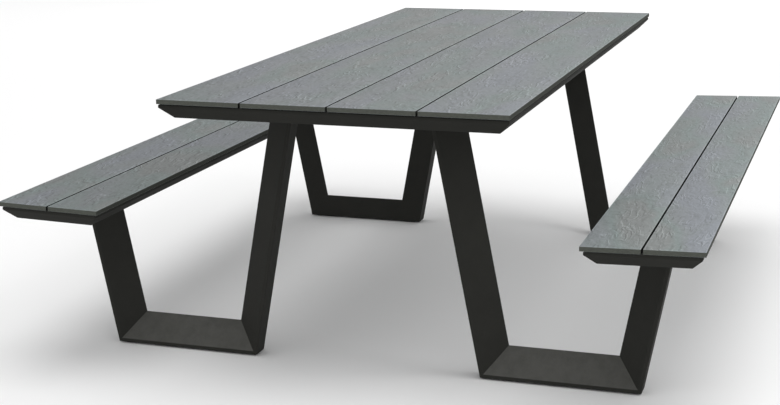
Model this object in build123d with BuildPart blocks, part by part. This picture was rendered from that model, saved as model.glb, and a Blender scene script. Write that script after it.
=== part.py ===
"""Picnic table with two seats on four open steel frames, in millimetres.

+X runs across the table, +Y along it and +Z up. The origin is on the floor under the middle.
The table top and both seats are decks of the same make: laminate boards on a folded steel tray.
"""
from build123d import *
import os
from math import cos, radians, sin, tan

# Table top and seats
TABLE_LENGTH = 2020
TABLE_HEIGHT = 750
TABLE_BOARD_WIDTH = 224
TABLE_BOARDS = 4
SEAT_LENGTH = 2080
SEAT_HEIGHT = 460
SEAT_BOARD_WIDTH = 142.5
SEAT_BOARDS = 2
SEAT_OFFSET = 773            # middle of the table to the middle of a seat
SEAT_PITCH = 1.4             # degrees, the outer edge stands higher
BOARD_THICKNESS = 12
BOARD_GAP = 5
BOARD_EDGE = 0.8             # chamfer round the top of each board
STRIP_THICKNESS = 2
STRIP_WIDTH = 40
STRIP_SHIFT = 6              # the edge strips sit this far outward of centre on their screws

# Folded tray under the boards
SHEET = 2.5
FOLD_RADIUS = 3              # outside of each fold in the sheet
TRAY_LIP = 10                # underside of the boards to the bottom of the upright lip
TABLE_TRAY_DEPTH = 40
SEAT_TRAY_DEPTH = 37
TABLE_SIDE_OVERHANG = 2
SEAT_SIDE_OVERHANG = 8
END_OVERHANG = 6
TOP_FLANGE = 60
BOTTOM_FLANGE = 12
CROSS_WEB = 100
CROSS_FLANGE = 25
TABLE_CROSS_STATIONS = 5
SEAT_CROSS_STATIONS = 3

# Steel frames: a lip on the outside, a sloping face and a deep inside face
FRAME_REACH = 770            # middle of the table to the outside of a frame, along Y
FRAME_DEPTH = 55
FRAME_LIP = 10
FRAME_INSIDE = 84
FRAME_WALL = 3
FRAME_BEND = 2.5
FLOOR_INNER_X = 317
FLOOR_OUTER_X = 738
LEG_LEAN = 10.8              # degrees from upright
PAD_THICKNESS = 4
PAD_LENGTH = 60
PAD_WIDTH = 36
PAD_SETBACK = 48             # mitre corner on the floor to the middle of a pad

# Fasteners
PLATE = (131, 90, 6)
BOLT_SPACING = (108, 60)
BOLT_RADIUS = 4
BOLT_HOLE_RADIUS = 4.5
HEX_RADIUS = 7.5
BOLT_HEAD_HEIGHT = 5.3
NUT_HEIGHT = 6.5
NUT_BORE_RADIUS = 4.1
WASHER_RADIUS = 8.5
WASHER_THICKNESS = 1.6
SCREW_RADIUS = 2.4
SCREW_HOLE_RADIUS = 2.6
SCREW_HEAD_RADIUS = 4.6
SCREW_HEAD_HEIGHT = 3
SCREW_BITE = 8
SCREW_HOLE_SPARE = 1         # each hole in a board goes this much deeper than its screw
SCREW_SETBACK = 50           # lip to the row of screws in a rail
SCREW_SPREAD = 0.36          # middle of a board to its screws, as a share of its width
SIDE_SCREWS = 5
SIDE_SCREW_MARGIN = 120      # end of a deck to the first screw in its side rails

SIDES = {"left": -1, "right": 1}
ENDS = {"front": -1, "back": 1}
FRAME_Y = FRAME_REACH - FRAME_DEPTH / 2
HOLE_TOP = SCREW_BITE + SCREW_HOLE_SPARE - BOARD_THICKNESS

os.makedirs("parts", exist_ok=True)


def save(part, name):
    """Label a finished piece and write its file."""
    part.label = name
    export_step(part, f"parts/{name}.step")


class Deck:
    """Sizes of one boarded surface; its plane has the origin in the middle of the top."""

    def __init__(self, name, plane, length, boards, board_width, tray_depth, side_overhang, stations):
        self.name = name
        self.plane = plane
        self.length = length
        self.boards = boards
        self.board_width = board_width
        self.width = boards * board_width + (boards - 1) * BOARD_GAP
        self.tray_bottom = -BOARD_THICKNESS - tray_depth
        self.lip_x = self.width / 2 - side_overhang
        self.lip_y = length / 2 - END_OVERHANG
        self.cross_half = self.lip_x - TOP_FLANGE
        step = 2 * FRAME_Y / (stations - 1)
        self.cross_y = [-FRAME_Y + i * step for i in range(stations)]

    def board_centre(self, index):
        """Middle of a board, across the deck."""
        pitch = self.board_width + BOARD_GAP
        return (index - (self.boards - 1) / 2) * pitch

    def cross_screws(self):
        """Two screws for each board on each cross rail, one in either flange."""
        flange_y = CROSS_WEB / 2 + CROSS_FLANGE / 2
        points = []
        for y in self.cross_y:
            for x in self.board_screw_x():
                points.append((x, y - flange_y if (len(points) % 2) else y + flange_y))
        return points

    def board_screw_x(self):
        """Screw places across the deck, two for each board and clear of the rails."""
        reach = self.cross_half - 2 * SCREW_HEAD_RADIUS
        places = []
        for index in range(self.boards):
            centre = self.board_centre(index)
            for side in (-1, 1):
                x = centre + side * SCREW_SPREAD * self.board_width
                places.append(max(-reach, min(reach, x)))
        return places

    def end_screws(self, end):
        """Row of screws in one end rail."""
        return [(x, end * (self.lip_y - SCREW_SETBACK)) for x in self.board_screw_x()]

    def side_screws(self, side):
        """Row of screws in one side rail."""
        step = (self.length - 2 * SIDE_SCREW_MARGIN) / (SIDE_SCREWS - 1)
        x = side * (self.lip_x - SCREW_SETBACK)
        return [(x, (i - (SIDE_SCREWS - 1) / 2) * step) for i in range(SIDE_SCREWS)]

    def all_screws(self):
        """Every screw under the boards."""
        rows = [self.end_screws(end) for end in ENDS.values()]
        rows += [self.side_screws(side) for side in SIDES.values()]
        return self.cross_screws() + [point for row in rows for point in row]


def drill(plane, points, radius, low, high):
    """Cut upright holes between two levels under the top of a deck."""
    with BuildSketch(plane.offset(low)) as holes:
        with Locations(*points):
            Circle(radius)
    extrude(holes.sketch, amount=high - low, mode=Mode.SUBTRACT)


def make_board(deck, index):
    """One laminate board with blind holes for its screws."""
    x = deck.board_centre(index)
    with BuildPart() as board:
        with BuildSketch(deck.plane.offset(-BOARD_THICKNESS)):
            with Locations((x, 0)):
                Rectangle(deck.board_width, deck.length)
        extrude(amount=BOARD_THICKNESS)
        top = board.faces().sort_by(Axis((0, 0, 0), deck.plane.z_dir))[-1]
        chamfer(top.edges(), BOARD_EDGE)
        mine = [p for p in deck.all_screws() if abs(p[0] - x) < deck.board_width / 2]
        drill(deck.plane, mine, SCREW_HOLE_RADIUS, -BOARD_THICKNESS, HOLE_TOP)
    save(board.part, f"{deck.name}_board_{index + 1}")


def rail_folds(deck):
    """Folded rail from the top flange to the bottom one, drawn inward (+x) from the lip."""
    top = -BOARD_THICKNESS - STRIP_THICKNESS
    lip_bottom = -BOARD_THICKNESS - TRAY_LIP
    inset = lip_bottom - deck.tray_bottom
    return [
        (TOP_FLANGE, top),
        (0, top),
        (0, lip_bottom),
        (inset, deck.tray_bottom),
        (inset + BOTTOM_FLANGE, deck.tray_bottom),
    ]


def make_rail(deck, word, outward, reach, half, screws):
    """One edge rail of a tray, mitred at 45 degrees at both ends.

    outward is a direction in the deck, reach the lip's distance from the middle, half its
    half length along the lip."""
    run = deck.plane.z_dir.cross(outward)
    start = deck.plane.origin + outward * reach - run * half
    section_plane = Plane(origin=start, x_dir=outward * -1, z_dir=run)
    with BuildPart() as rail:
        with BuildSketch(section_plane):
            with BuildLine():
                folds = FilletPolyline(*rail_folds(deck), radius=FOLD_RADIUS)
                offset(folds, amount=SHEET, side=Side.LEFT, kind=Kind.INTERSECTION)
            make_face()
        extrude(amount=2 * half)
        for end in (-1, 1):
            corner = deck.plane.origin + outward * reach + run * half * end
            split(bisect_by=Plane(origin=corner, z_dir=outward - run * end), keep=Keep.TOP)
        flange = -BOARD_THICKNESS - STRIP_THICKNESS
        drill(deck.plane, screws, SCREW_HOLE_RADIUS, flange - 2 * SHEET, flange + SHEET)
    save(rail.part, f"{deck.name}_{word}_rail")


def hat_folds(deck):
    """Hat section of a cross rail: two flanges under the boards and a web on the leg plates."""
    top = -BOARD_THICKNESS - STRIP_THICKNESS
    web = deck.tray_bottom + PLATE[2] + SHEET
    half_web = CROSS_WEB / 2
    outer = half_web + CROSS_FLANGE
    return [
        (-outer, top),
        (-half_web, top),
        (-half_web, web),
        (half_web, web),
        (half_web, top),
        (outer, top),
    ]


def plate_bolts(centres):
    """Places of the four bolts round each leg plate."""
    dx, dy = (spacing / 2 for spacing in BOLT_SPACING)
    return [(x + i * dx, y + j * dy) for x, y in centres for i in (-1, 1) for j in (-1, 1)]


def make_cross_rail(deck, index):
    """Hat rail across a tray; the boards are screwed to its flanges from below."""
    y = deck.cross_y[index]
    start = deck.plane.origin - deck.plane.x_dir * deck.cross_half + deck.plane.y_dir * y
    with BuildPart() as cross:
        with BuildSketch(Plane(origin=start, x_dir=deck.plane.y_dir, z_dir=deck.plane.x_dir)):
            with BuildLine():
                folds = FilletPolyline(*hat_folds(deck), radius=FOLD_RADIUS)
                offset(folds, amount=SHEET, side=Side.RIGHT, kind=Kind.INTERSECTION)
            make_face()
        extrude(amount=2 * deck.cross_half)
        flange = -BOARD_THICKNESS - STRIP_THICKNESS
        near = [p for p in deck.cross_screws() if abs(p[1] - y) < CROSS_WEB]
        drill(deck.plane, near, SCREW_HOLE_RADIUS, flange - 2 * SHEET, flange + SHEET)
        bolts = [p for p in plate_bolts(deck.plate_centres) if abs(p[1] - y) < CROSS_WEB / 2]
        if bolts:
            web = deck.tray_bottom + PLATE[2]
            drill(deck.plane, bolts, BOLT_HOLE_RADIUS, web - SHEET, web + 2 * SHEET)
    save(cross.part, f"{deck.name}_cross_rail_{index + 1}")


def make_strips(deck):
    """Soft strips that keep the boards off the steel and leave a dark line round the edge."""
    under = deck.plane.offset(-BOARD_THICKNESS - STRIP_THICKNESS)
    setback = SCREW_SETBACK - STRIP_WIDTH / 2 + STRIP_SHIFT
    side_x = deck.lip_x - setback
    end_y = deck.lip_y - setback
    side_length = 2 * end_y + STRIP_WIDTH
    end_length = 2 * side_x - STRIP_WIDTH - 2 * STRIP_THICKNESS
    flange_y = CROSS_WEB / 2 + CROSS_FLANGE / 2
    cross_lines = [(0, y + side * flange_y) for y in deck.cross_y for side in (-1, 1)]
    with BuildPart() as strips:
        with BuildSketch(under):
            with Locations((-side_x, 0), (side_x, 0)):
                Rectangle(STRIP_WIDTH, side_length)
            with Locations((0, -end_y), (0, end_y)):
                Rectangle(end_length, STRIP_WIDTH)
            with Locations(*cross_lines):
                Rectangle(2 * deck.cross_half, CROSS_FLANGE - 2 * STRIP_THICKNESS)
            with Locations(*deck.all_screws()):
                Circle(SCREW_HOLE_RADIUS, mode=Mode.SUBTRACT)
        extrude(amount=STRIP_THICKNESS)
    save(strips.part, f"{deck.name}_spacer_strips")


def make_screws(deck):
    """Pan-head screws driven up through the steel and the strips into the boards."""
    seat = -BOARD_THICKNESS - STRIP_THICKNESS - SHEET
    with BuildPart() as screws:
        with BuildSketch(deck.plane.offset(seat - SCREW_HEAD_HEIGHT)):
            with Locations(*deck.all_screws()):
                Circle(SCREW_HEAD_RADIUS)
        extrude(amount=SCREW_HEAD_HEIGHT)
        with BuildSketch(deck.plane.offset(seat)):
            with Locations(*deck.all_screws()):
                Circle(SCREW_RADIUS)
        extrude(amount=SCREW_BITE - BOARD_THICKNESS - seat)
    save(screws.part, f"{deck.name}_board_screws")


def make_deck(deck):
    """All the pieces of one boarded surface."""
    for index in range(deck.boards):
        make_board(deck, index)
    for word, side in SIDES.items():
        across = deck.plane.x_dir * side
        make_rail(deck, word, across, deck.lip_x, deck.lip_y, deck.side_screws(side))
    for word, end in ENDS.items():
        along = deck.plane.y_dir * end
        make_rail(deck, word, along, deck.lip_y, deck.lip_x, deck.end_screws(end))
    for index in range(len(deck.cross_y)):
        make_cross_rail(deck, index)
    make_strips(deck)
    make_screws(deck)


def frame_member(name, start, direction, inward, length, cuts):
    """One hollow member of a frame, drawn from its outside edge and cut to its mitres.

    The section's x runs into the frame's opening and its y from the lip to the deep face."""
    overrun = 2 * FRAME_INSIDE
    plane = Plane(origin=start - direction * overrun, x_dir=inward, z_dir=direction)
    depth = -FRAME_DEPTH if plane.y_dir.Y * start.Y > 0 else FRAME_DEPTH
    with BuildPart() as member:
        with BuildSketch(plane) as section:
            with BuildLine():
                Polyline((0, 0), (FRAME_LIP, 0), (FRAME_INSIDE, depth), (0, depth), close=True)
            make_face()
            fillet(section.vertices(), FRAME_BEND)
            offset(amount=-FRAME_WALL, mode=Mode.SUBTRACT)
        extrude(amount=length + 2 * overrun)
        for origin, keep in cuts:
            split(bisect_by=Plane(origin=origin, z_dir=keep), keep=Keep.TOP)
    save(member.part, name)


def make_frame(end_word, side_word, seat_plane):
    """A floor member with a leg to the table and a leg to the seat, mitred together."""
    side = SIDES[side_word]
    y = ENDS[end_word] * FRAME_REACH
    inner = Vector(side * FLOOR_INNER_X, y, PAD_THICKNESS)
    outer = Vector(side * FLOOR_OUTER_X, y, PAD_THICKNESS)
    across = Vector(side, 0, 0)
    up = Vector(0, 0, 1)
    lean = radians(LEG_LEAN)
    table_leg = Vector(-side * sin(lean), 0, cos(lean))
    seat_leg = Vector(side * sin(lean), 0, cos(lean))
    table_mitre = (across - table_leg).normalized()
    seat_mitre = (across * -1 - seat_leg).normalized()
    table_top = Vector(0, 0, TABLE_HEIGHT + TABLE.tray_bottom)
    seat_top = seat_plane.offset(-BOARD_THICKNESS - SEAT_TRAY_DEPTH).origin
    name = f"{end_word}_{side_word}"
    frame_member(
        f"{name}_floor_member",
        inner,
        across,
        up,
        FLOOR_OUTER_X - FLOOR_INNER_X,
        [(inner, table_mitre), (outer, seat_mitre)],
    )
    frame_member(
        f"{name}_table_leg",
        inner,
        table_leg,
        Vector(side * cos(lean), 0, sin(lean)),
        TABLE_HEIGHT,
        [(inner, table_mitre * -1), (table_top, up * -1)],
    )
    frame_member(
        f"{name}_seat_leg",
        outer,
        seat_leg,
        Vector(-side * cos(lean), 0, sin(lean)),
        SEAT_HEIGHT,
        [(outer, seat_mitre * -1), (seat_top, seat_plane.z_dir * -1)],
    )


def seat_plane(side):
    """Middle of the top of one seat, pitched so that its outer edge stands higher."""
    pitch = radians(SEAT_PITCH) * side
    return Plane(
        origin=(side * SEAT_OFFSET, 0, SEAT_HEIGHT),
        x_dir=(cos(pitch), 0, sin(pitch)),
        z_dir=(-sin(pitch), 0, cos(pitch)),
    )


# The three decks
TABLE = Deck(
    "table",
    Plane(origin=(0, 0, TABLE_HEIGHT)),
    TABLE_LENGTH,
    TABLE_BOARDS,
    TABLE_BOARD_WIDTH,
    TABLE_TRAY_DEPTH,
    TABLE_SIDE_OVERHANG,
    TABLE_CROSS_STATIONS,
)
table_leg_rise = TABLE_HEIGHT + TABLE.tray_bottom - PAD_THICKNESS
table_leg_x = (
    FLOOR_INNER_X
    - table_leg_rise * tan(radians(LEG_LEAN))
    + FRAME_INSIDE / cos(radians(LEG_LEAN)) / 2
)
TABLE.plate_centres = [(i * table_leg_x, j * FRAME_Y) for i in (-1, 1) for j in (-1, 1)]

SEATS = {}
for side_word, side in SIDES.items():
    SEATS[side_word] = Deck(
        f"{side_word}_seat",
        seat_plane(side),
        SEAT_LENGTH,
        SEAT_BOARDS,
        SEAT_BOARD_WIDTH,
        SEAT_TRAY_DEPTH,
        SEAT_SIDE_OVERHANG,
        SEAT_CROSS_STATIONS,
    )
    SEATS[side_word].plate_centres = [(0, -FRAME_Y), (0, FRAME_Y)]

for deck in (TABLE, *SEATS.values()):
    make_deck(deck)

# The four frames
for end_word in ENDS:
    for side_word, seat in SEATS.items():
        make_frame(end_word, side_word, seat.plane)

# Plates welded to the tops of the legs
with BuildPart() as table_leg_plates:
    with BuildSketch(TABLE.plane.offset(TABLE.tray_bottom)):
        with Locations(*TABLE.plate_centres):
            Rectangle(PLATE[0], PLATE[1])
        with Locations(*plate_bolts(TABLE.plate_centres)):
            Circle(BOLT_HOLE_RADIUS, mode=Mode.SUBTRACT)
    extrude(amount=PLATE[2])
save(table_leg_plates.part, "table_leg_plates")

with BuildPart() as seat_leg_plates:
    for seat in SEATS.values():
        with BuildSketch(seat.plane.offset(seat.tray_bottom)):
            with Locations(*seat.plate_centres):
                Rectangle(PLATE[0], PLATE[1])
            with Locations(*plate_bolts(seat.plate_centres)):
                Circle(BOLT_HOLE_RADIUS, mode=Mode.SUBTRACT)
        extrude(amount=PLATE[2])
save(seat_leg_plates.part, "seat_leg_plates")

# Hexagon bolts up through the plates and cross rails, with a washer and a nut on each
web_top = PLATE[2] + SHEET
with BuildPart() as plate_bolt_set:
    for deck in (TABLE, *SEATS.values()):
        places = plate_bolts(deck.plate_centres)
        with BuildSketch(deck.plane.offset(deck.tray_bottom - BOLT_HEAD_HEIGHT)):
            with Locations(*places):
                RegularPolygon(HEX_RADIUS, 6)
        extrude(amount=BOLT_HEAD_HEIGHT)
        with BuildSketch(deck.plane.offset(deck.tray_bottom)):
            with Locations(*places):
                Circle(BOLT_RADIUS)
        extrude(amount=web_top + WASHER_THICKNESS + NUT_HEIGHT + SHEET)
save(plate_bolt_set.part, "leg_plate_bolts")

with BuildPart() as plate_washers:
    for deck in (TABLE, *SEATS.values()):
        with BuildSketch(deck.plane.offset(deck.tray_bottom + web_top)):
            with Locations(*plate_bolts(deck.plate_centres)):
                Circle(WASHER_RADIUS)
                Circle(BOLT_HOLE_RADIUS, mode=Mode.SUBTRACT)
        extrude(amount=WASHER_THICKNESS)
save(plate_washers.part, "leg_plate_washers")

with BuildPart() as plate_nuts:
    for deck in (TABLE, *SEATS.values()):
        with BuildSketch(deck.plane.offset(deck.tray_bottom + web_top + WASHER_THICKNESS)):
            with Locations(*plate_bolts(deck.plate_centres)):
                RegularPolygon(HEX_RADIUS, 6)
                Circle(NUT_BORE_RADIUS, mode=Mode.SUBTRACT)
        extrude(amount=NUT_HEIGHT)
save(plate_nuts.part, "leg_plate_nuts")

# Rubber pads under both ends of every floor member
pad_x = (FLOOR_INNER_X + PAD_SETBACK, FLOOR_OUTER_X - PAD_SETBACK)
with BuildPart() as floor_pads:
    with BuildSketch():
        with Locations(*[(i * x, j * FRAME_Y) for x in pad_x for i in (-1, 1) for j in (-1, 1)]):
            RectangleRounded(PAD_LENGTH, PAD_WIDTH, PAD_THICKNESS)
    extrude(amount=PAD_THICKNESS)
save(floor_pads.part, "floor_pads")
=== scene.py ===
import math

import bmesh
import bpy
from mathutils import Matrix, Vector


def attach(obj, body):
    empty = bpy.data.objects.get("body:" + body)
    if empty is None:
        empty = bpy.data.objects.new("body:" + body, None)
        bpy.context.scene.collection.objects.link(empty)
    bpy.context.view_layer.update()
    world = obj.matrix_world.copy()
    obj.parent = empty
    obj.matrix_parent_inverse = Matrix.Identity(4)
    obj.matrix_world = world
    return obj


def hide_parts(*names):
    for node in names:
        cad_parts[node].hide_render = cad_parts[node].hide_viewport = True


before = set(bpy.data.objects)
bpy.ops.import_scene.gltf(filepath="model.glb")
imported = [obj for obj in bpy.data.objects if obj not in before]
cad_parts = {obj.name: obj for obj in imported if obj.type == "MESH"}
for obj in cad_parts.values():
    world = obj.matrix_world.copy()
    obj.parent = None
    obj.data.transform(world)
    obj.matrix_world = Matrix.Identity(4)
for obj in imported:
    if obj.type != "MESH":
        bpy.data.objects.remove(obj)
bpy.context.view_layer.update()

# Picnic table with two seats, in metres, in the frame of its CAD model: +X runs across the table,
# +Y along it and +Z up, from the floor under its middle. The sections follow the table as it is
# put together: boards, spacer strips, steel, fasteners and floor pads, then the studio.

# ---------------------------------------------------------------------------------------------
# Boards. Eight planks of compact laminate, 12 mm thick: a printed grey face sheet on a dark core
# of pressed paper and resin. They are sawn square, with every edge eased by about 1 mm, and
# screwed from below, so that nothing shows on top.
# ---------------------------------------------------------------------------------------------
BOARD_NODES = sorted(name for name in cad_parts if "_board_" in name and "screws" not in name)
BOARD_EDGE_RADIUS = 0.0009
BOARD_FLAT_MARGIN = 0.003
BOARD_LOOPS = 10
EDGE_FACE_TILT = 0.6
LOOKS_UP = 0.9
# Painted light: the right seat, and less the table's right board, are painted lighter than the
# other boards, as if lit from the right.
BOARD_TONES_WITH_PAINTED_LIGHT = {
    "left_seat": 0.86,
    "right_seat": 1.12,
    "table_board_1": 0.84,
    "table_board_2": 0.84,
    "table_board_3": 0.86,
    "table_board_4": 0.945,
}
OUTER_SIDES = {
    "left_seat_board_1": -1.0,
    "left_seat_board_2": 1.0,
    "right_seat_board_1": -1.0,
    "right_seat_board_2": 1.0,
    "table_board_1": -1.0,
    "table_board_4": 1.0,
}


def feed(tree, socket, value):
    """Link an input to another node's output, or set it to a value."""
    if isinstance(value, bpy.types.NodeSocket):
        tree.links.new(value, socket)
    else:
        socket.default_value = value


def add_node(tree, kind, inputs=None, **settings):
    """A node with its settings, and its inputs given as values or as sockets to link."""
    node = tree.nodes.new(kind)
    for name, value in settings.items():
        setattr(node, name, value)
    for name, value in (inputs or {}).items():
        feed(tree, node.inputs[name], value)
    return node


def maths(tree, operation, first, second=0.0, third=0.0):
    """The result socket of one Math node."""
    inputs = {0: first, 1: second, 2: third}
    return add_node(tree, "ShaderNodeMath", inputs, operation=operation).outputs[0]


def vector_maths(tree, operation, first, second=(0.0, 0.0, 0.0)):
    """The vector socket of one Vector Math node."""
    inputs = {0: first, 1: second}
    return add_node(tree, "ShaderNodeVectorMath", inputs, operation=operation).outputs[0]


def scaled(tree, vector, factor):
    """A vector times one factor."""
    inputs = {0: vector, "Scale": factor}
    return add_node(tree, "ShaderNodeVectorMath", inputs, operation="SCALE").outputs[0]


def parts_of(tree, vector):
    """The X, Y and Z sockets of a vector."""
    return add_node(tree, "ShaderNodeSeparateXYZ", {0: vector}).outputs


def vector_of(tree, **parts):
    """A vector from its X, Y and Z, each nought unless it is given."""
    return add_node(tree, "ShaderNodeCombineXYZ", parts).outputs[0]


def mesh_place(tree):
    """Where a point of the mesh is."""
    return add_node(tree, "GeometryNodeInputPosition").outputs[0]


def new_geometry_tree(name, size_names):
    """A Geometry Nodes tree that takes a mesh of places, named sizes and a material."""
    tree = bpy.data.node_groups.new(name, "GeometryNodeTree")
    tree.is_modifier = True
    tree.interface.new_socket("Places", in_out="INPUT", socket_type="NodeSocketGeometry")
    for size_name in size_names:
        tree.interface.new_socket(size_name, in_out="INPUT", socket_type="NodeSocketFloat")
    tree.interface.new_socket("Finish", in_out="INPUT", socket_type="NodeSocketMaterial")
    tree.interface.new_socket("Geometry", in_out="OUTPUT", socket_type="NodeSocketGeometry")
    return tree


def end_tree(tree, geometry, finish, apart=None, other_finish=None):
    """Close a tree with Realize Instances and Set Material, with another finish where apart."""
    real = add_node(tree, "GeometryNodeRealizeInstances", {"Geometry": geometry})
    painted = add_node(
        tree, "GeometryNodeSetMaterial", {"Geometry": real.outputs[0], "Material": finish}
    )
    if apart:
        painted = add_node(
            tree,
            "GeometryNodeSetMaterial",
            {"Geometry": painted.outputs[0], "Selection": apart, "Material": other_finish},
        )
    group_output = tree.nodes.new("NodeGroupOutput")
    tree.links.new(painted.outputs[0], group_output.inputs[0])


def grow(name, tree, sizes, finish, seed_mesh=None):
    """Run a tree on an object and keep its result as a plain mesh with no modifier."""
    carrier = bpy.data.objects.new(name + "_seed", seed_mesh or bpy.data.meshes.new(name + "_seed"))
    bpy.context.scene.collection.objects.link(carrier)
    modifier = carrier.modifiers.new("grow", "NODES")
    modifier.node_group = tree
    identifiers = {
        item.name: item.identifier
        for item in tree.interface.items_tree
        if item.item_type == "SOCKET" and item.in_out == "INPUT"
    }
    for size_name, value in sizes.items():
        modifier[identifiers[size_name]] = value
    modifier[identifiers["Finish"]] = finish
    depsgraph = bpy.context.evaluated_depsgraph_get()
    mesh = bpy.data.meshes.new_from_object(carrier.evaluated_get(depsgraph), depsgraph=depsgraph)
    bpy.data.objects.remove(carrier)
    mesh.name = name
    piece = bpy.data.objects.new(name, mesh)
    bpy.context.scene.collection.objects.link(piece)
    return piece


def rounded_block(tree, half, radius, flat_margin, loops):
    """A block of a half size with rounded edges and a narrow flat margin beside them."""
    block = add_node(
        tree,
        "GeometryNodeMeshCube",
        {"Size": (2.0, 2.0, 2.0), "Vertices X": loops, "Vertices Y": loops, "Vertices Z": loops},
    )
    way = vector_maths(tree, "SIGN", mesh_place(tree))
    reach = vector_maths(tree, "ABSOLUTE", mesh_place(tree))
    # The second loop from the middle ends the flat face, and those past it go round the edge.
    flat_loop = 3.0 / (loops - 1)
    past_flat = vector_maths(tree, "SUBTRACT", reach, (flat_loop,) * 3)
    share = scaled(tree, past_flat, 1.0 / (1.0 - flat_loop))
    margin = scaled(tree, vector_maths(tree, "MINIMUM", share), flat_margin / flat_loop)
    core = vector_maths(tree, "ADD", vector_maths(tree, "SUBTRACT", half, radius), margin)
    outward = vector_maths(tree, "NORMALIZE", vector_maths(tree, "MAXIMUM", share))
    skin = vector_maths(tree, "ADD", core, vector_maths(tree, "MULTIPLY", outward, radius))
    rounded = vector_maths(tree, "MULTIPLY", skin, way)
    shaped = add_node(
        tree, "GeometryNodeSetPosition", {"Geometry": block.outputs[0], "Position": rounded}
    )
    return add_node(tree, "GeometryNodeSetShadeSmooth", {"Geometry": shaped.outputs[0]}).outputs[0]


def kept(tree, geometry, name, value, data_type):
    """Store a value on the points of a mesh under a name that its material reads."""
    node = add_node(
        tree,
        "GeometryNodeStoreNamedAttribute",
        {"Geometry": geometry, "Name": name, "Value": value},
        data_type=data_type,
        domain="POINT",
    )
    return node.outputs[0]


def make_board_tree():
    """A plank with rounded edges. Its own place on the board is kept for the printed face."""
    tree = new_geometry_tree(
        "laminate_board",
        ("Width", "Length", "Thickness", "Edge Radius", "Number", "Tone With Painted Light", "Outer Side"),
    )
    tree.interface.new_socket("Edge Finish", in_out="INPUT", socket_type="NodeSocketMaterial")
    sizes = tree.nodes.new("NodeGroupInput").outputs
    size = vector_of(tree, X=sizes["Width"], Y=sizes["Length"], Z=sizes["Thickness"])
    half = scaled(tree, size, 0.5)
    edge = sizes["Edge Radius"]
    radius = vector_of(tree, X=edge, Y=edge, Z=edge)
    plank = rounded_block(tree, half, radius, BOARD_FLAT_MARGIN, BOARD_LOOPS)
    for name, value, data_type in (
        ("board_place", mesh_place(tree), "FLOAT_VECTOR"),
        ("board_half", half, "FLOAT_VECTOR"),
        ("board_number", sizes["Number"], "FLOAT"),
        ("board_tone_with_painted_light", sizes["Tone With Painted Light"], "FLOAT"),
        ("board_outer_side", sizes["Outer Side"], "FLOAT"),
    ):
        plank = kept(tree, plank, name, value, data_type)
    tilt = parts_of(tree, add_node(tree, "GeometryNodeInputNormal").outputs[0])["Z"]
    on_edge = maths(tree, "LESS_THAN", maths(tree, "ABSOLUTE", tilt), EDGE_FACE_TILT)
    end_tree(tree, plank, sizes["Finish"], on_edge, sizes["Edge Finish"])
    return tree


def board_lie(node):
    """Middle, directions and size of a flat board, read from its CAD mesh."""
    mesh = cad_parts[node].data
    top = max((f for f in mesh.polygons if f.normal.z > LOOKS_UP), key=lambda f: f.area).normal
    along = Vector((0.0, 1.0, 0.0))
    across = along.cross(top).normalized()
    axes = (across, along, top.normalized())
    spans = [[vertex.co.dot(axis) for vertex in mesh.vertices] for axis in axes]
    middle = sum(((max(s) + min(s)) / 2 * axis for s, axis in zip(spans, axes)), Vector())
    size = [max(s) - min(s) for s in spans]
    return middle, axes, size


def lay(mesh, middle, axes):
    """Move a mesh made round the origin to its place in the frame."""
    turn = Matrix(axes).transposed().to_4x4()
    mesh.transform(Matrix.Translation(middle) @ turn)


def new_material(name, sheen=0.5):
    """A material with an empty tree, its Principled shader with its sheen, and its output."""
    material = bpy.data.materials.new(name)
    material.use_nodes = True
    tree = material.node_tree
    tree.nodes.clear()
    shader = tree.nodes.new("ShaderNodeBsdfPrincipled")
    shader.inputs["Specular IOR Level"].default_value = sheen
    output = tree.nodes.new("ShaderNodeOutputMaterial")
    tree.links.new(shader.outputs[0], output.inputs["Surface"])
    return material, tree, shader


def put_finish(tree, shader, colour, roughness, relief, strength, depth):
    """Link a surface's colour, roughness and fine relief to its shader."""
    bump = add_node(
        tree, "ShaderNodeBump", {"Height": relief, "Strength": strength, "Distance": depth}
    )
    tree.links.new(colour, shader.inputs["Base Color"])
    tree.links.new(roughness, shader.inputs["Roughness"])
    tree.links.new(bump.outputs[0], shader.inputs["Normal"])


def ramp(tree, factor, stops):
    """A colour ramp with stops given as (place, colour)."""
    node = add_node(tree, "ShaderNodeValToRGB", {"Fac": factor})
    elements = node.color_ramp.elements
    while len(elements) < len(stops):
        elements.new(0.5)
    for element, (place, colour) in zip(elements, stops):
        element.position = place
        element.color = (*colour, 1.0)
    return node.outputs[0]


def spread(tree, value, low, high, to_low=0.0, to_high=1.0, smooth=False):
    """Map a range of a value to another range, with its ends held."""
    node = add_node(
        tree,
        "ShaderNodeMapRange",
        {"Value": value, "From Min": low, "From Max": high, "To Min": to_low, "To Max": to_high},
        interpolation_type="SMOOTHSTEP" if smooth else "LINEAR",
    )
    return node.outputs[0]


def noise(tree, vector, scale, detail=2.0, roughness=0.5, distortion=0.0):
    """The value of one noise texture."""
    inputs = {
        "Vector": vector,
        "Scale": scale,
        "Detail": detail,
        "Roughness": roughness,
        "Distortion": distortion,
    }
    return add_node(tree, "ShaderNodeTexNoise", inputs).outputs[0]


# Where the values of a noise mostly lie.
NOISE_RANGE = (0.3, 0.7)

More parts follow.
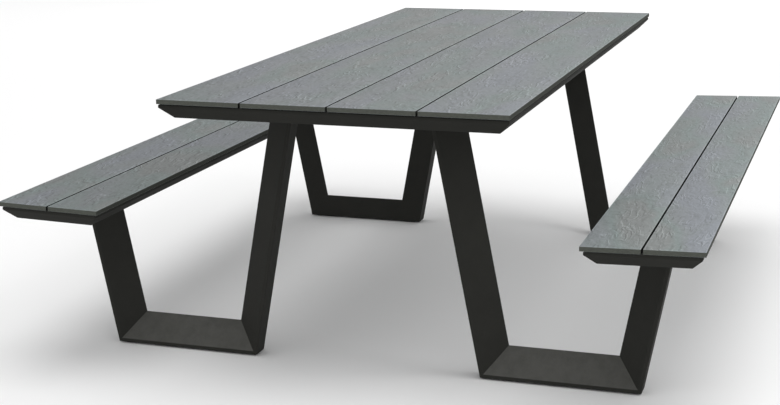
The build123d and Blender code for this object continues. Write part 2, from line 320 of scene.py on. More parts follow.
# The printed sheet: how its patterns are stretched along a board, their sizes and their strengths.
SHEET_STEP = (1.7, 3.1, 0.6)
SWAY = {"Scale": 6.0, "Detail": 3.0}
SWAY_REACH = (0.05, 0.10, 0.0)
CLOUD_STRETCH = (1.0, 0.32, 1.0)
FIBRE_STRETCH = (1.0, 0.45, 1.0)
STROKE_STRETCH = (1.0, 0.22, 1.0)
GRAIN_STRETCH = (1.0, 0.35, 1.0)
FIBRE_SHADE_SHIFT = (0.0022, 0.0016, 0.0)
STROKE_SHADE_SHIFT = (0.0018, 0.0010, 0.0)
CLUSTER_SHIFT = (5.1, 2.7, 0.0)
SHEET_HUE = {"scale": 6.5, "detail": 2.0, "roughness": 0.45, "distortion": 0.3}
SHEET_CLOUDS = {"scale": 12.0, "detail": 3.0, "roughness": 0.55}
SHEET_FIBRES = {"scale": 70.0, "detail": 3.0, "roughness": 0.6, "distortion": 0.6}
SHEET_CLUSTERS = {"scale": 22.0, "detail": 2.0, "roughness": 0.6}
SHEET_STROKES = {"scale": 58.0, "detail": 2.0, "roughness": 0.45, "distortion": 0.6}
SHEET_GRAIN = {"scale": 240.0, "detail": 3.0, "roughness": 0.6}
STROKE_WIDTH = 0.08
STROKE_CORE = 0.35
PALE_CLUSTERS = {"low": 0.46, "high": 0.60, "smooth": True}
DARK_CLUSTERS = {"low": 0.42, "high": 0.58, "smooth": True}
SHEET_TONES = {
    "clouds": 0.10,
    "grain": 0.07,
    "fibres": 1.1,
    "pale strokes": 0.50,
    "dark strokes": -0.46,
}
# Painted light across every board: paler towards its right long edge and darker towards its left,
# as if lit from the right.
RIGHT_SIDE_PAINTED_LIGHT = {"low": 0.45, "high": 1.0, "to_high": 0.10, "smooth": True}
LEFT_SIDE_PAINTED_SHADE = {"low": -0.2, "high": -1.0, "to_high": -0.06, "smooth": True}
# The rim of the top is made paler within a few millimetres of its edges: partly wear, partly a
# painted highlight, broken up by the fibres.
RIM_WEAR_AND_HIGHLIGHT = 0.48
RIM_WEAR_AND_HIGHLIGHT_REACH = {"low": 0.0006, "high": 0.0042, "to_low": 1.0, "to_high": 0.0, "smooth": True}
RIM_WEAR_AND_HIGHLIGHT_GAPS = {"low": 0.35, "high": 0.6, "to_low": 0.55, "to_high": 1.0}
SHEET_COLOURS = [
    (0.34, (0.159, 0.171, 0.168)),
    (0.43, (0.150, 0.181, 0.176)),
    (0.52, (0.162, 0.179, 0.184)),
    (0.62, (0.165, 0.179, 0.197)),
]
SHEET_ROUGHNESS = (0.44, 0.56)
SHEET_SHEEN = 0.32
FIBRE_RELIEF = 1.2
GRAIN_RELIEF = 0.5
STROKE_RELIEF = 0.6
SHEET_BUMP = {"strength": 0.5, "depth": 0.0006}


def thin_lines(tree, value, width):
    """One where a value is close to a half, so that a noise draws thin winding lines."""
    off = maths(tree, "ABSOLUTE", maths(tree, "SUBTRACT", value, 0.5))
    return spread(tree, off, width * STROKE_CORE, width, 1.0, 0.0, smooth=True)


def stored(tree, name, output="Fac"):
    """A value that was kept on the points of the mesh."""
    return add_node(tree, "ShaderNodeAttribute", attribute_name=name).outputs[output]


def board_sheet(tree):
    """A point's place on its own board, half of the board's size, and its place on the sheet."""
    place = stored(tree, "board_place", "Vector")
    half = stored(tree, "board_half", "Vector")
    step = scaled(tree, SHEET_STEP, stored(tree, "board_number"))
    return place, half, vector_maths(tree, "ADD", place, step)


def board_insets(tree, place, half):
    """How far a point lies inside each pair of a board's outer faces."""
    from_middle = vector_maths(tree, "ABSOLUTE", place)
    return parts_of(tree, vector_maths(tree, "SUBTRACT", half, from_middle))


def make_laminate():
    """Grey slate print with fine fibrous marks and long patches of cooler and warmer grey, with
    painted light on whole boards and their sides, and a rim partly worn and partly a painted
    highlight.
    """
    material, tree, shader = new_material("grey_compact_laminate", SHEET_SHEEN)
    place, half, sheet = board_sheet(tree)
    sway = add_node(tree, "ShaderNodeTexNoise", {"Vector": sheet, **SWAY}).outputs["Color"]
    swayed = vector_maths(tree, "ADD", sheet, vector_maths(tree, "MULTIPLY", sway, SWAY_REACH))
    cloud_way = vector_maths(tree, "MULTIPLY", swayed, CLOUD_STRETCH)
    fibre_way = vector_maths(tree, "MULTIPLY", swayed, FIBRE_STRETCH)
    stroke_way = vector_maths(tree, "MULTIPLY", swayed, STROKE_STRETCH)
    grain_way = vector_maths(tree, "MULTIPLY", swayed, GRAIN_STRETCH)
    fibre_shade = vector_maths(tree, "ADD", fibre_way, FIBRE_SHADE_SHIFT)
    stroke_shade = vector_maths(tree, "ADD", stroke_way, STROKE_SHADE_SHIFT)

    hue = noise(tree, cloud_way, **SHEET_HUE)
    clouds = noise(tree, cloud_way, **SHEET_CLOUDS)
    clusters = noise(tree, vector_maths(tree, "ADD", cloud_way, CLUSTER_SHIFT), **SHEET_CLUSTERS)
    fibres = noise(tree, fibre_way, **SHEET_FIBRES)
    grain = noise(tree, grain_way, **SHEET_GRAIN)
    pale_lines = thin_lines(tree, noise(tree, stroke_way, **SHEET_STROKES), STROKE_WIDTH)
    dark_lines = thin_lines(tree, noise(tree, stroke_shade, **SHEET_STROKES), STROKE_WIDTH)
    pale_strokes = maths(tree, "MULTIPLY", pale_lines, spread(tree, clusters, **PALE_CLUSTERS))
    dark_strokes = maths(tree, "MULTIPLY", dark_lines, spread(tree, clusters, **DARK_CLUSTERS))

    # Each board's tone carries painted light, and the marks of the print go on top of it.
    tone_and_painted_light = stored(tree, "board_tone_with_painted_light")
    marks = {
        "clouds": spread(tree, clouds, *NOISE_RANGE, -1.0, 1.0),
        "grain": spread(tree, grain, *NOISE_RANGE, -1.0, 1.0),
        "fibres": maths(tree, "SUBTRACT", fibres, noise(tree, fibre_shade, **SHEET_FIBRES)),
        "pale strokes": pale_strokes,
        "dark strokes": dark_strokes,
    }
    for name, mark in marks.items():
        tone_and_painted_light = maths(tree, "MULTIPLY_ADD", mark, SHEET_TONES[name], tone_and_painted_light)

    # Painted light across the board: paler on the right, darker on the left.
    across = parts_of(tree, vector_maths(tree, "DIVIDE", place, half))["X"]
    tone_and_painted_light = maths(tree, "ADD", tone_and_painted_light, spread(tree, across, **RIGHT_SIDE_PAINTED_LIGHT))
    tone_and_painted_light = maths(tree, "ADD", tone_and_painted_light, spread(tree, across, **LEFT_SIDE_PAINTED_SHADE))
    # A paler rim, partly wear and partly a painted highlight.
    insets = board_insets(tree, place, half)
    from_edge = maths(tree, "MINIMUM", insets["X"], insets["Y"])
    worn_and_highlit = spread(tree, from_edge, **RIM_WEAR_AND_HIGHLIGHT_REACH)
    worn_and_highlit = maths(tree, "MULTIPLY", worn_and_highlit, spread(tree, fibres, **RIM_WEAR_AND_HIGHLIGHT_GAPS))
    tone_and_painted_light = maths(tree, "MULTIPLY_ADD", worn_and_highlit, RIM_WEAR_AND_HIGHLIGHT, tone_and_painted_light)

    colour = vector_maths(tree, "MULTIPLY", ramp(tree, hue, SHEET_COLOURS), tone_and_painted_light)
    roughness = spread(tree, clouds, *NOISE_RANGE, *SHEET_ROUGHNESS)
    relief = maths(tree, "MULTIPLY", grain, GRAIN_RELIEF)
    relief = maths(tree, "MULTIPLY_ADD", fibres, FIBRE_RELIEF, relief)
    relief = maths(tree, "MULTIPLY_ADD", pale_strokes, STROKE_RELIEF, relief)
    put_finish(tree, shader, colour, roughness, relief, **SHEET_BUMP)
    return material


# The core: its fine layers, and painted shade that darkens the two long edges, deepest where they
# face a gap, with a painted highlight near their top and bottom faces.
CORE_SQUEEZE = (1.0, 1.0, 6.0)
CORE_LAYERS = {"scale": 160.0, "detail": 3.0}
CORE_COLOURS = [(0.35, (0.066, 0.070, 0.061)), (0.65, (0.092, 0.098, 0.085))]
CORE_ROUGHNESS = (0.72, 0.84)
CORE_SHEEN = 0.10
CORE_BUMP = {"strength": 0.4, "depth": 0.0003}
EDGE_PAINTED_SHADE = {"low": -0.01, "high": 0.01, "to_low": 0.08, "to_high": 0.52}
EDGE_PAINTED_HIGHLIGHT = {"low": 0.0006, "high": 0.0050, "to_low": 1.35, "to_high": 1.0}
END_BLEND = {"low": -0.0005, "high": 0.0005}


def make_core():
    """The pressed core on a board's edges: fine layers, with painted shade darkest on the edges
    that face a gap.
    """
    material, tree, shader = new_material("pressed_core", CORE_SHEEN)
    place, half, sheet = board_sheet(tree)
    insets = board_insets(tree, place, half)
    layers = noise(tree, vector_maths(tree, "MULTIPLY", sheet, CORE_SQUEEZE), **CORE_LAYERS)
    # Painted shade darkens the long edges, deepest where they face a gap, and a painted highlight
    # pales them within 5 mm of the top and bottom faces.
    side = maths(tree, "MULTIPLY", parts_of(tree, place)["X"], stored(tree, "board_outer_side"))
    painted_shade = spread(tree, side, **EDGE_PAINTED_SHADE)
    rim = spread(tree, insets["Z"], **EDGE_PAINTED_HIGHLIGHT)
    on_end = spread(tree, maths(tree, "SUBTRACT", insets["X"], insets["Y"]), **END_BLEND)
    shade = maths(tree, "MAXIMUM", maths(tree, "MULTIPLY", painted_shade, rim), on_end)
    colour = vector_maths(tree, "MULTIPLY", ramp(tree, layers, CORE_COLOURS), shade)
    roughness = spread(tree, layers, *NOISE_RANGE, *CORE_ROUGHNESS)
    put_finish(tree, shader, colour, roughness, layers, **CORE_BUMP)
    return material


board_tree = make_board_tree()
laminate = make_laminate()
core = make_core()
for number, node in enumerate(BOARD_NODES):
    middle, axes, (width, length, thickness) = board_lie(node)
    board = grow(
        node.replace("_board_", "_plank_"),
        board_tree,
        {
            "Width": width,
            "Length": length,
            "Thickness": thickness,
            "Edge Radius": BOARD_EDGE_RADIUS,
            "Number": float(number),
            "Tone With Painted Light": next(tone_and_painted_light for name, tone_and_painted_light in BOARD_TONES_WITH_PAINTED_LIGHT.items() if node.startswith(name)),
            "Outer Side": OUTER_SIDES.get(node, 0.0),
            "Edge Finish": core,
        },
        laminate,
    )
    lay(board.data, middle, axes)
    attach(board, "root")
    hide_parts(node)

# ---------------------------------------------------------------------------------------------
# Spacer strips. Flat strips of black rubber, 2 mm thick and glued to the steel, that hold the
# boards off it and leave a dark line under them. The screws go through them.
# ---------------------------------------------------------------------------------------------
RUBBER_SKIN = {"scale": 300.0, "detail": 4.0}
RUBBER_COLOURS = [(0.35, (0.012, 0.012, 0.012)), (0.65, (0.020, 0.020, 0.019))]
RUBBER_ROUGHNESS = (0.75, 0.9)
RUBBER_BUMP = {"strength": 0.3, "depth": 0.0003}


def object_place(tree):
    """A point's place in the frame."""
    return add_node(tree, "ShaderNodeTexCoord").outputs["Object"]


def make_rubber():
    """Matt black rubber with a fine dusty skin."""
    material, tree, shader = new_material("black_rubber")
    skin = noise(tree, object_place(tree), **RUBBER_SKIN)
    colour = ramp(tree, skin, RUBBER_COLOURS)
    roughness = spread(tree, skin, *NOISE_RANGE, *RUBBER_ROUGHNESS)
    put_finish(tree, shader, colour, roughness, skin, **RUBBER_BUMP)
    return material


def finish_nodes(material, *endings):
    """Give a material to every CAD node whose name ends in one of these ways."""
    for name, node in sorted(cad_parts.items()):
        if name.endswith(endings):
            for slot in node.material_slots:
                slot.material = material


rubber = make_rubber()
finish_nodes(rubber, "_spacer_strips")

# ---------------------------------------------------------------------------------------------
# Trays, cross rails and frames. Folded from steel sheet, mitred, welded and ground flush, then
# powder coated in a matt anthracite with a fine texture. Dust and painted light pale what faces
# upwards, most near the ground, and a thin painted fill light pales the sides.
# ---------------------------------------------------------------------------------------------
CROSS_RAILS = 5
COAT_PEEL = {"scale": 700.0, "detail": 2.0}
COAT_CLOUDS = {"scale": 9.0, "detail": 4.0, "roughness": 0.6}
COAT_COLOURS = [(0.35, (0.0172, 0.0172, 0.0150)), (0.65, (0.0210, 0.0211, 0.0184))]
COAT_ROUGHNESS = (0.70, 0.80)
COAT_SHEEN = 0.12
COAT_BUMP = {"strength": 0.25, "depth": 0.0002}
# Dust with painted light in it: what faces upwards is mixed towards a pale colour, most near the
# ground, and a thin painted fill light reaches the sides.
DUST_AND_LIGHT_COLOUR = (0.092, 0.092, 0.085, 1.0)
DUST_ROUGHNESS = 0.15
DUST_DRIFTS = {"scale": 34.0, "detail": 4.0, "roughness": 0.65}
DUST_SPECKS = {"scale": 900.0, "detail": 1.0}
DUST_AND_LIGHT_BY_HEIGHT = {"low": 0.02, "high": 0.70, "to_low": 1.0, "to_high": 0.1}
DUST_AND_LIGHT_ON_SLOPES = {"low": 0.25, "high": 0.58, "smooth": True}
DUST_SPLASHED_AND_FILL_LIGHT = {"low": -0.5, "high": -0.2, "to_high": 0.12}
DUST_IN_DRIFTS = {"low": 0.25, "high": 0.75, "to_low": 0.75, "to_high": 1.15}
DUST_IN_SPECKS = {"low": 0.3, "high": 0.7, "to_low": 0.85, "to_high": 1.1}


def make_dust_and_light_group():
    """Pale dust and painted light on faces that look upwards, thickest near the ground, with a thin
    painted fill light on the sides.
    """
    group = bpy.data.node_groups.new("settled_dust_and_painted_light", "ShaderNodeTree")
    group.interface.new_socket("Colour", in_out="INPUT", socket_type="NodeSocketColor")
    group.interface.new_socket("Dust And Light Colour", in_out="INPUT", socket_type="NodeSocketColor")
    group.interface.new_socket("Amount", in_out="INPUT", socket_type="NodeSocketFloat")
    group.interface.new_socket("Colour", in_out="OUTPUT", socket_type="NodeSocketColor")
    group.interface.new_socket("Cover", in_out="OUTPUT", socket_type="NodeSocketFloat")
    sockets = group.nodes.new("NodeGroupInput").outputs
    results = group.nodes.new("NodeGroupOutput").inputs

    place = object_place(group)
    height = parts_of(group, place)["Z"]
    upward = parts_of(group, add_node(group, "ShaderNodeNewGeometry").outputs["Normal"])["Z"]
    drifts = spread(group, noise(group, place, **DUST_DRIFTS), **DUST_IN_DRIFTS)
    specks = spread(group, noise(group, place, **DUST_SPECKS), **DUST_IN_SPECKS)
    # Dust and painted light on faces that look upwards, and a thin painted fill light on the sides
    # that do not look down.
    settled_and_lit = spread(group, upward, **DUST_AND_LIGHT_ON_SLOPES)
    cover = maths(group, "MAXIMUM", settled_and_lit, spread(group, upward, **DUST_SPLASHED_AND_FILL_LIGHT))
    cover = maths(group, "MULTIPLY", cover, spread(group, height, **DUST_AND_LIGHT_BY_HEIGHT))
    for share in (drifts, specks, sockets["Amount"]):
        cover = maths(group, "MULTIPLY", cover, share)
    dusty_and_lit = add_node(
        group,
        "ShaderNodeMix",
        {"Factor": cover, 6: sockets["Colour"], 7: sockets["Dust And Light Colour"]},
        data_type="RGBA",
    ).outputs[2]
    group.links.new(dusty_and_lit, results["Colour"])
    group.links.new(cover, results["Cover"])
    return group


def make_powder_coat():
    """Anthracite powder coat: a fine orange-peel skin with slight cloudiness."""
    material, tree, shader = new_material("anthracite_powder_coat", COAT_SHEEN)
    place = object_place(tree)
    peel = noise(tree, place, **COAT_PEEL)
    clouds = noise(tree, place, **COAT_CLOUDS)
    # Dust and painted light pale the coat on what faces upwards.
    dust_and_light = add_node(
        tree,
        "ShaderNodeGroup",
        {"Colour": ramp(tree, clouds, COAT_COLOURS), "Dust And Light Colour": DUST_AND_LIGHT_COLOUR, "Amount": 1.0},
        node_tree=settled_dust_and_painted_light,
    ).outputs
    roughness = spread(tree, clouds, *NOISE_RANGE, *COAT_ROUGHNESS)
    roughness = maths(tree, "MULTIPLY_ADD", dust_and_light["Cover"], DUST_ROUGHNESS, roughness)
    put_finish(tree, shader, dust_and_light["Colour"], roughness, peel, **COAT_BUMP)
    return material


settled_dust_and_painted_light = make_dust_and_light_group()
powder_coat = make_powder_coat()
finish_nodes(powder_coat, "_rail", "_floor_member", "_table_leg", "_seat_leg")
finish_nodes(powder_coat, *(f"_cross_rail_{number + 1}" for number in range(CROSS_RAILS)))

# ---------------------------------------------------------------------------------------------
# Leg plates. A 6 mm steel plate is welded on top of every leg and coated with the frame. The
# weld runs round the leg under the plate as a small rippled bead.
# ---------------------------------------------------------------------------------------------
LEG_NODES = sorted(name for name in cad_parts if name.endswith(("_table_leg", "_seat_leg")))
WELD_SIZES = {"Radius": 0.0022, "Step": 0.0024}
WELD_SINK = 0.4
WELD_SIDES = 8
WELD_FULLNESS = 0.75
RIPPLE_TURN = 1.9
RIPPLE_SWELL = 0.10
WANDER = {"scale": 160.0, "detail": 2.0}
WANDER_SWELL = 0.5
RIM_DEPTH = 1e-5
STRAIGHT = 1e-9
RIM_DIGITS = 6


def face_way(board):
    """The way that a board's face looks."""
    return board_lie(board)[1][2]


def leg_top_way(node):
    """The way that a leg's top faces: straight up, or square to its seat."""
    if node.endswith("_table_leg"):
        return Vector((0.0, 0.0, 1.0))
    return face_way("left_seat_board_1" if "_left_" in node else "right_seat_board_1")


def turns_right(first, second, third):
    """Whether a path of three flat points turns right or goes straight on."""
    ahead = (second[0] - first[0], second[1] - first[1])
    after = (third[0] - first[0], third[1] - first[1])
    return ahead[0] * after[1] - ahead[1] * after[0] <= STRAIGHT


def outline(points):
    """The points of a flat convex outline, in order round it."""
    points = sorted(set(points))

    def chain(line_points):
        """One side of the outline."""
        line = []
        for point in line_points:
            while len(line) > 1 and turns_right(line[-2], line[-1], point):
                line.pop()
            line.append(point)
        return line[:-1]

    return chain(points) + chain(points[::-1])


def weld_paths():
    """A mesh of closed loops, one round the top of every leg."""
    loops = bpy.data.meshes.new("weld_paths")
    points = []
    edges = []
    for node in LEG_NODES:
        up = leg_top_way(node)
        across = Vector((0.0, 1.0, 0.0)).cross(up).normalized()
        vertices = [vertex.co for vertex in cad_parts[node].data.vertices]
        top = max(vertex.dot(up) for vertex in vertices)
        rim = [vertex for vertex in vertices if vertex.dot(up) > top - RIM_DEPTH]
        ring = outline([(round(v.dot(across), RIM_DIGITS), round(v.y, RIM_DIGITS)) for v in rim])
        first = len(points)
        lift = top - WELD_SIZES["Radius"] * WELD_SINK
        points += [across * x + Vector((0.0, y, 0.0)) + up * lift for x, y in ring]
        edges += [(first + i, first + (i + 1) % len(ring)) for i in range(len(ring))]
    loops.from_pydata(points, edges, [])
    return loops


def make_weld_tree():
    """A rippled bead along every loop of a mesh of edges."""
    tree = new_geometry_tree("weld_bead", WELD_SIZES)
    sizes = tree.nodes.new("NodeGroupInput").outputs
    paths = add_node(tree, "GeometryNodeMeshToCurve", {"Mesh": sizes["Places"]})
    stepped = add_node(
        tree,
        "GeometryNodeResampleCurve",
        {"Curve": paths.outputs[0], "Length": sizes["Step"]},
        mode="LENGTH",
    )
    number = add_node(tree, "GeometryNodeInputIndex").outputs[0]
    ripple = maths(tree, "SINE", maths(tree, "MULTIPLY", number, RIPPLE_TURN))
    swell = maths(tree, "MULTIPLY_ADD", ripple, RIPPLE_SWELL, WELD_FULLNESS)
    wander = noise(tree, mesh_place(tree), **WANDER)
    swell = maths(tree, "MULTIPLY_ADD", wander, WANDER_SWELL, swell)
    round_bead = add_node(
        tree,
        "GeometryNodeCurvePrimitiveCircle",
        {"Resolution": WELD_SIDES, "Radius": sizes["Radius"]},
    )
    bead = add_node(
        tree,
        "GeometryNodeCurveToMesh",
        {"Curve": stepped.outputs[0], "Profile Curve": round_bead.outputs[0], "Scale": swell},
    )
    smooth = add_node(tree, "GeometryNodeSetShadeSmooth", {"Geometry": bead.outputs[0]})
    end_tree(tree, smooth.outputs[0], sizes["Finish"])
    return tree


finish_nodes(powder_coat, "_leg_plates")
welds = grow("leg_weld_beads", make_weld_tree(), WELD_SIZES, powder_coat, weld_paths())
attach(welds, "root")

# ---------------------------------------------------------------------------------------------
# Board screws. Zinc-plated pan-head screws with a hexagon socket, driven up through the steel
# and the strips into the boards, so that their heads show only from below.
# ---------------------------------------------------------------------------------------------
SCREW_SIDES = 12
HALF_FLAT = math.pi / 6
SCREW_SIZES = {
    "Head Radius": 0.0046,
    "Head Height": 0.0030,
    "Shank Radius": 0.0024,
    "Length": 0.0155,
    "Socket Radius": 0.0018,
    "Socket Depth": 0.0016,
}
SOCKET_FLOOR = 0.9
CROWN_RADIUS = 0.78
CROWN_HEIGHT = 0.16
SHOULDER_HEIGHT = 0.62
ZINC_PATCHES = {"scale": 240.0, "detail": 3.0}
ZINC_COLOURS = [(0.35, (0.42, 0.43, 0.44)), (0.65, (0.56, 0.57, 0.58))]
ZINC_ROUGHNESS = (0.30, 0.46)
ZINC_BUMP = {"strength": 0.15, "depth": 0.0001}
SAME_POINT = 1e-6


def loose_parts(mesh):
    """The separate solids of a CAD mesh, each as a list of points."""
    shell = bmesh.new()
    shell.from_mesh(mesh)
    bmesh.ops.remove_doubles(shell, verts=shell.verts, dist=SAME_POINT)
    waiting = set(shell.verts)
    parts = []
    for start in list(shell.verts):
        if start not in waiting:
            continue
        waiting.discard(start)
        part = [start]
        for vertex in part:
            for edge in vertex.link_edges:
                neighbour = edge.other_vert(vertex)
                if neighbour in waiting:
                    waiting.discard(neighbour)
                    part.append(neighbour)
        parts.append([vertex.co.copy() for vertex in part])
    shell.free()
    return parts


def middle_of(part):
    """The middle of a solid's bounding box."""
    return Vector([(min(co[i] for co in part) + max(co[i] for co in part)) / 2 for i in range(3)])


def turned(tree, sides, rings):
    """A closed turned shape, from rings of a radius, a height and how far they are hexagonal."""
    last = len(rings) - 1
    blank = add_node(
        tree,
        "GeometryNodeMeshCylinder",
        {"Vertices": sides, "Side Segments": last, "Radius": 1.0, "Depth": 1.0},
        fill_type="TRIANGLE_FAN",
    )
    place = parts_of(tree, mesh_place(tree))
    ring = maths(tree, "ROUND", maths(tree, "MULTIPLY", maths(tree, "ADD", place["Z"], 0.5), last))
    picked = []
    for column in range(3):
        switch = add_node(tree, "GeometryNodeIndexSwitch", data_type="FLOAT")
        while len(switch.index_switch_items) < len(rings):
            switch.index_switch_items.new()
        tree.links.new(ring, switch.inputs["Index"])
        for number, values in enumerate(rings):
            feed(tree, switch.inputs[number + 1], values[column])
        picked.append(switch.outputs[0])
    radius, height, hexagonal = picked
    angle = maths(tree, "ARCTAN2", place["Y"], place["X"])
    from_flat = maths(tree, "PINGPONG", maths(tree, "ADD", angle, math.pi), HALF_FLAT)
    flat = maths(tree, "DIVIDE", math.cos(HALF_FLAT), maths(tree, "COSINE", from_flat))
    drawn_in = maths(tree, "MULTIPLY_ADD", maths(tree, "SUBTRACT", flat, 1.0), hexagonal, 1.0)
    reach = maths(tree, "MULTIPLY", radius, drawn_in)
    shape = vector_of(
        tree,
        X=maths(tree, "MULTIPLY", place["X"], reach),
        Y=maths(tree, "MULTIPLY", place["Y"], reach),
        Z=height,
    )
    return add_node(
        tree, "GeometryNodeSetPosition", {"Geometry": blank.outputs[0], "Position": shape}
    ).outputs[0]


def make_screw_tree():
    """A pan-head screw on every point, head down, leaning with its seat."""
    tree = new_geometry_tree("pan_head_screw", (*SCREW_SIZES, "Lean"))
    sizes = tree.nodes.new("NodeGroupInput").outputs
    head = sizes["Head Radius"]
    rise = sizes["Head Height"]
    shank = sizes["Shank Radius"]
    socket = sizes["Socket Radius"]
    screw = turned(
        tree,
        SCREW_SIDES,
        [
            (maths(tree, "MULTIPLY", socket, SOCKET_FLOOR), sizes["Socket Depth"], 1.0),
            (socket, 0.0, 1.0),
            (
                maths(tree, "MULTIPLY", head, CROWN_RADIUS),
                maths(tree, "MULTIPLY", rise, CROWN_HEIGHT),
                0.0,
            ),
            (head, maths(tree, "MULTIPLY", rise, SHOULDER_HEIGHT), 0.0),
            (head, rise, 0.0),
            (shank, rise, 0.0),
            (shank, sizes["Length"], 0.0),
        ],
    )
    rows = add_node(
        tree,
        "GeometryNodeInstanceOnPoints",
        {
            "Points": sizes["Places"],
            "Instance": screw,
            "Rotation": vector_of(tree, Y=sizes["Lean"]),
        },
    )
    end_tree(tree, rows.outputs[0], sizes["Finish"])
    return tree


def make_zinc():
    """Bright zinc plate with a slightly patchy shine."""
    material, tree, shader = new_material("zinc_plate")
    patches = noise(tree, object_place(tree), **ZINC_PATCHES)
    colour = ramp(tree, patches, ZINC_COLOURS)
    roughness = spread(tree, patches, *NOISE_RANGE, *ZINC_ROUGHNESS)
    put_finish(tree, shader, colour, roughness, patches, **ZINC_BUMP)
    shader.inputs["Metallic"].default_value = 1.0
    return material


def screw_places(node, up):
    """A mesh with one point at the lowest point on the axis of every screw of a CAD node."""
    places = bpy.data.meshes.new(node + "_places")
    points = []
    for part in loose_parts(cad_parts[node].data):
        middle = middle_of(part)
        depth = min(co.dot(up) for co in part) - middle.dot(up)
        points.append(middle + up * depth)
    places.from_pydata(points, [], [])
    return places


zinc = make_zinc()
screw_tree = make_screw_tree()
for node, board in {
    "table_board_screws": "table_board_1",
    "left_seat_board_screws": "left_seat_board_1",
    "right_seat_board_screws": "right_seat_board_1",
}.items():
    up = face_way(board)
    screws = grow(
        node.replace("_board_screws", "_pan_screws"),
        screw_tree,
        {**SCREW_SIZES, "Lean": math.atan2(up.x, up.z)},
        zinc,
        screw_places(node, up),
    )
    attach(screws, "root")
    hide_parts(node)

# ---------------------------------------------------------------------------------------------
# Frame bolts. Four M8 hexagon bolts with washers and nuts hold every leg plate to a cross rail.
# They are zinc-plated like the screws.
# ---------------------------------------------------------------------------------------------
finish_nodes(zinc, "_bolts", "_washers", "_nuts")

# ---------------------------------------------------------------------------------------------
# Floor pads. Black rubber pads, 60 x 36 x 4 mm, pressed into the underside of every floor
# member. They have rounded edges and cross ribs for grip.
# ---------------------------------------------------------------------------------------------
PAD_SIZES = {"Length": 0.060, "Width": 0.036, "Thickness": 0.004, "Rib Height": 0.0014, "Ribs": 9.0}
PAD_RADIUS = (0.0005, 0.0005, 0.0005)
PAD_FLAT_MARGIN = 0.0003
PAD_LOOPS = 8
RIB_SHARE = 0.5
RIB_WIDTH = 0.92
RIB_DEPTH = 1.5


def make_pad_tree():
    """A pad with a smooth back and cross ribs on the side that stands on the floor."""
    tree = new_geometry_tree("ribbed_pad", PAD_SIZES)
    sizes = tree.nodes.new("NodeGroupInput").outputs
    rib_height = sizes["Rib Height"]
    back = maths(tree, "SUBTRACT", sizes["Thickness"], rib_height)
    back_size = vector_of(tree, X=sizes["Length"], Y=sizes["Width"], Z=back)
    back_half = scaled(tree, back_size, 0.5)
    plate = rounded_block(tree, back_half, PAD_RADIUS, PAD_FLAT_MARGIN, PAD_LOOPS)
    lift = vector_of(tree, Z=maths(tree, "MULTIPLY_ADD", back, 0.5, rib_height))
    plate = add_node(tree, "GeometryNodeTransform", {"Geometry": plate, "Translation": lift})

    pitch = maths(tree, "DIVIDE", sizes["Length"], sizes["Ribs"])
    rib_size = vector_of(
        tree,
        X=maths(tree, "MULTIPLY", pitch, RIB_SHARE),
        Y=maths(tree, "MULTIPLY", sizes["Width"], RIB_WIDTH),
        Z=maths(tree, "MULTIPLY", rib_height, RIB_DEPTH),
    )
    rib_half = scaled(tree, rib_size, 0.5)
    rib = rounded_block(tree, rib_half, PAD_RADIUS, PAD_FLAT_MARGIN, PAD_LOOPS)
    start = vector_of(
        tree,
        X=maths(tree, "MULTIPLY", maths(tree, "SUBTRACT", pitch, sizes["Length"]), 0.5),
        Z=maths(tree, "MULTIPLY", rib_height, RIB_DEPTH / 2),
    )
    row = add_node(
        tree,
        "GeometryNodeMeshLine",
        {"Count": sizes["Ribs"], "Start Location": start, "Offset": vector_of(tree, X=pitch)},
    )
    ribs = add_node(
        tree, "GeometryNodeInstanceOnPoints", {"Points": row.outputs[0], "Instance": rib}
    )
    pad = tree.nodes.new("GeometryNodeJoinGeometry")
    tree.links.new(plate.outputs[0], pad.inputs[0])
    tree.links.new(ribs.outputs[0], pad.inputs[0])
    pads = add_node(
        tree,
        "GeometryNodeInstanceOnPoints",
        {"Points": sizes["Places"], "Instance": pad.outputs[0]},
    )
    end_tree(tree, pads.outputs[0], sizes["Finish"])
    return tree


def pad_places():
    """A mesh with one point on the floor under the middle of every pad."""
    places = bpy.data.meshes.new("pad_places")
    middles = [middle_of(part) for part in loose_parts(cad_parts["floor_pads"].data)]
    places.from_pydata([(middle.x, middle.y, 0.0) for middle in middles], [], [])
    return places


pads = grow("ribbed_floor_pads", make_pad_tree(), PAD_SIZES, rubber, pad_places())
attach(pads, "root")
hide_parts("floor_pads")

# ---------------------------------------------------------------------------------------------
# Studio. A pale floor out to where the view ends, and an even pale sky. One wide soft light
# stands overhead, and softboxes stand on the right, behind the table and low behind it.
# ---------------------------------------------------------------------------------------------
FLOOR_REACH = 40.0
FLOOR_GREY = (0.90, 0.90, 0.90, 1.0)
FLOOR_ROUGHNESS = 0.9
FLOOR_SHEEN = 0.1
SKY_STRENGTH = 0.75
OVERHEAD_PLACE = (0.2, -0.2, 5.0)
OVERHEAD_STRENGTH = 1.0
OVERHEAD_SPREAD = 44.0
SOFTBOXES = {
    "right_softbox": {
        "place": (2.6, -0.6, 3.5),
        "target": (0.6, -0.2, 0.5),
        "size": 1.6,
        "power": 25.0,
    },
    "back_softbox": {
        "place": (3.0, 9.5, 4.2),
        "target": (0.3, 0.5, 0.5),
        "size": 6.0,
        "power": 60.0,
    },
    "low_back_softbox": {
        "place": (-2.6, 8.0, 1.6),
        "target": (-0.3, 0.5, 0.6),
        "size": 3.0,
        "power": 18.0,
    },
}


def make_floor():
    """A wide pale floor under the table."""
    mesh = bpy.data.meshes.new("studio_floor")
    sides = [(-1, -1), (1, -1), (1, 1), (-1, 1)]
    corners = [(x * FLOOR_REACH, y * FLOOR_REACH, 0.0) for x, y in sides]
    mesh.from_pydata(corners, [], [(0, 1, 2, 3)])
    floor = bpy.data.objects.new("studio_floor", mesh)
    bpy.context.scene.collection.objects.link(floor)
    material, _, shader = new_material("pale_floor", FLOOR_SHEEN)
    shader.inputs["Base Color"].default_value = FLOOR_GREY
    shader.inputs["Roughness"].default_value = FLOOR_ROUGHNESS
    mesh.materials.append(material)


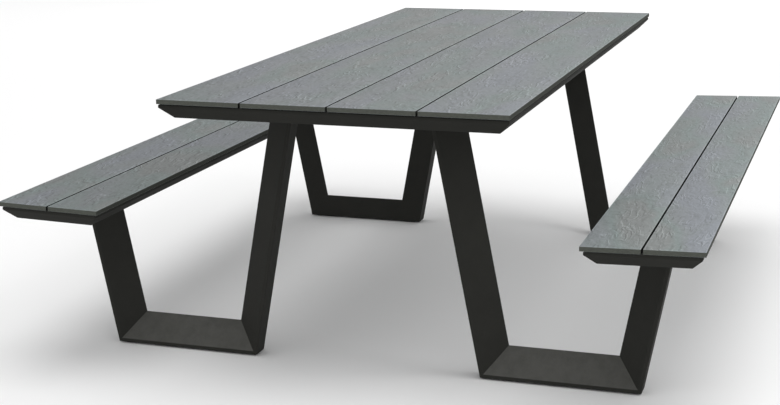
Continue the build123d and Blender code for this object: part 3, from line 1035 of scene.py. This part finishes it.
def make_sky(strength):
    """An even pale light from all round."""
    world = bpy.data.worlds.new("studio_sky")
    world.use_nodes = True
    background = world.node_tree.nodes["Background"]
    background.inputs["Color"].default_value = (1.0, 1.0, 1.0, 1.0)
    background.inputs["Strength"].default_value = strength
    bpy.context.scene.world = world


def aim(lamp, place, target):
    """Put a lamp at a place and turn it to face a target."""
    bpy.context.scene.collection.objects.link(lamp)
    lamp.location = place
    lamp.rotation_euler = (Vector(target) - Vector(place)).to_track_quat("-Z", "Y").to_euler()


def add_sun(name, place, strength, angle):
    """An even light from one direction, with edges as soft as its angle in degrees."""
    sun = bpy.data.lights.new(name, "SUN")
    sun.energy = strength
    sun.angle = math.radians(angle)
    aim(bpy.data.objects.new(name, sun), place, (0.0, 0.0, 0.0))


def add_softbox(name, place, target, size, power):
    """A square softbox of one size in metres, aimed at a target."""
    box = bpy.data.lights.new(name, "AREA")
    box.shape = "SQUARE"
    box.size = size
    box.energy = power
    aim(bpy.data.objects.new(name, box), place, target)


make_floor()
make_sky(SKY_STRENGTH)
add_sun("overhead_light", OVERHEAD_PLACE, OVERHEAD_STRENGTH, OVERHEAD_SPREAD)
for name, settings in SOFTBOXES.items():
    add_softbox(name, **settings)

# ---------------------------------------------------------------------------------------------
# Camera. It stands off the right front corner, about 0.6 m above the table top, and looks down
# across the table with a slight roll.
# ---------------------------------------------------------------------------------------------
CAMERA_PLACE = (1.288, -4.318, 1.393)
CAMERA_YAW = 18.836
CAMERA_PITCH = -13.968
CAMERA_ROLL = -0.939
CAMERA_LENS = 68.95
CAMERA_REACH = 200.0
SENSOR_WIDTH = 36.0

camera_data = bpy.data.cameras.new("camera")
camera_data.sensor_width = SENSOR_WIDTH
camera_data.lens = CAMERA_LENS
camera_data.clip_end = CAMERA_REACH
camera = bpy.data.objects.new("camera", camera_data)
bpy.context.scene.collection.objects.link(camera)
turn = Matrix.Rotation(math.radians(CAMERA_YAW), 4, "Z")
tip = Matrix.Rotation(math.radians(90.0 + CAMERA_PITCH), 4, "X")
roll = Matrix.Rotation(math.radians(CAMERA_ROLL), 4, "Z")
camera.matrix_world = Matrix.Translation(CAMERA_PLACE) @ turn @ tip @ roll
bpy.context.scene.camera = camera
bpy.context.scene.view_settings.view_transform = "Standard"
